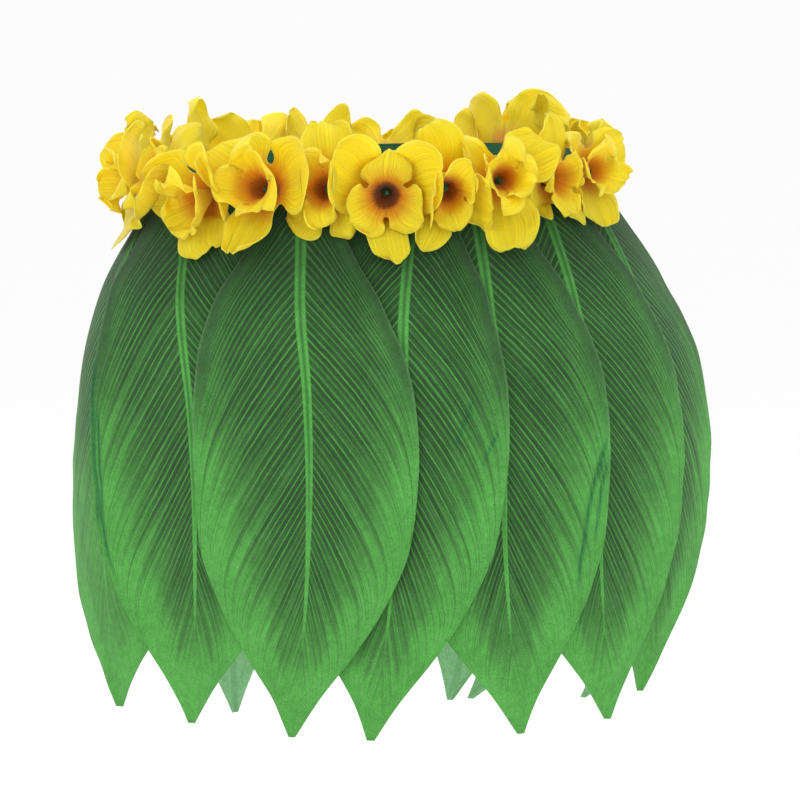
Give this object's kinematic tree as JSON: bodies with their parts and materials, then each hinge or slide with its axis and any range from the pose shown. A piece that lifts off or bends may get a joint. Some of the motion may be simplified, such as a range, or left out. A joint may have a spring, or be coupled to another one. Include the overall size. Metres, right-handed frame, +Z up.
{
  "type": "ti leaf skirt",
  "caption": "Short dress-up skirt of long overlapping cloth leaves that hang from a waistband, with a dense ring of cloth flowers round the waist.",
  "frame": {"origin": "middle of the waistband's oval ring, where the skirt is held by its wearer's waist", "axes": "+Z up, out of the waist; the front of the skirt faces -Y; +X is to the right of someone who looks at the front"},
  "size_m": [0.4125, 0.3058, 0.4198],
  "materials": {
    "band_cloth": "dark green woven elastic",
    "leaf_cloth": "printed non-woven cloth, soft green with pale margins and veins",
    "inner_petal_cloth": "satin cloth, yellow with an orange throat",
    "outer_petal_cloth": "satin cloth, yellow"
  },
  "bodies": {
    "root": {"waistband": "band_cloth", "leaf_01": "leaf_cloth", "leaf_02": "leaf_cloth", "leaf_03": "leaf_cloth", "leaf_04": "leaf_cloth", "leaf_05": "leaf_cloth", "leaf_06": "leaf_cloth", "leaf_07": "leaf_cloth", "leaf_08": "leaf_cloth", "leaf_09": "leaf_cloth", "leaf_10": "leaf_cloth", "leaf_11": "leaf_cloth", "leaf_12": "leaf_cloth", "leaf_13": "leaf_cloth", "flower_01_inner": "inner_petal_cloth", "flower_01_outer": "outer_petal_cloth", "flower_02_inner": "inner_petal_cloth", "flower_02_outer": "outer_petal_cloth", "flower_03_inner": "inner_petal_cloth", "flower_03_outer": "outer_petal_cloth", "flower_04_inner": "inner_petal_cloth", "flower_04_outer": "outer_petal_cloth", "flower_05_inner": "inner_petal_cloth", "flower_05_outer": "outer_petal_cloth", "flower_06_inner": "inner_petal_cloth", "flower_06_outer": "outer_petal_cloth", "flower_07_inner": "inner_petal_cloth", "flower_07_outer": "outer_petal_cloth", "flower_08_inner": "inner_petal_cloth", "flower_08_outer": "outer_petal_cloth", "flower_09_inner": "inner_petal_cloth", "flower_09_outer": "outer_petal_cloth", "flower_10_inner": "inner_petal_cloth", "flower_10_outer": "outer_petal_cloth", "flower_11_inner": "inner_petal_cloth", "flower_11_outer": "outer_petal_cloth", "flower_12_inner": "inner_petal_cloth", "flower_12_outer": "outer_petal_cloth", "flower_13_inner": "inner_petal_cloth", "flower_13_outer": "outer_petal_cloth", "flower_14_inner": "inner_petal_cloth", "flower_14_outer": "outer_petal_cloth", "flower_15_inner": "inner_petal_cloth", "flower_15_outer": "outer_petal_cloth", "flower_16_inner": "inner_petal_cloth", "flower_16_outer": "outer_petal_cloth", "flower_17_inner": "inner_petal_cloth", "flower_17_outer": "outer_petal_cloth", "flower_18_inner": "inner_petal_cloth", "flower_18_outer": "outer_petal_cloth", "flower_19_inner": "inner_petal_cloth", "flower_19_outer": "outer_petal_cloth", "flower_20_inner": "inner_petal_cloth", "flower_20_outer": "outer_petal_cloth"}
  },
  "joints": []
}
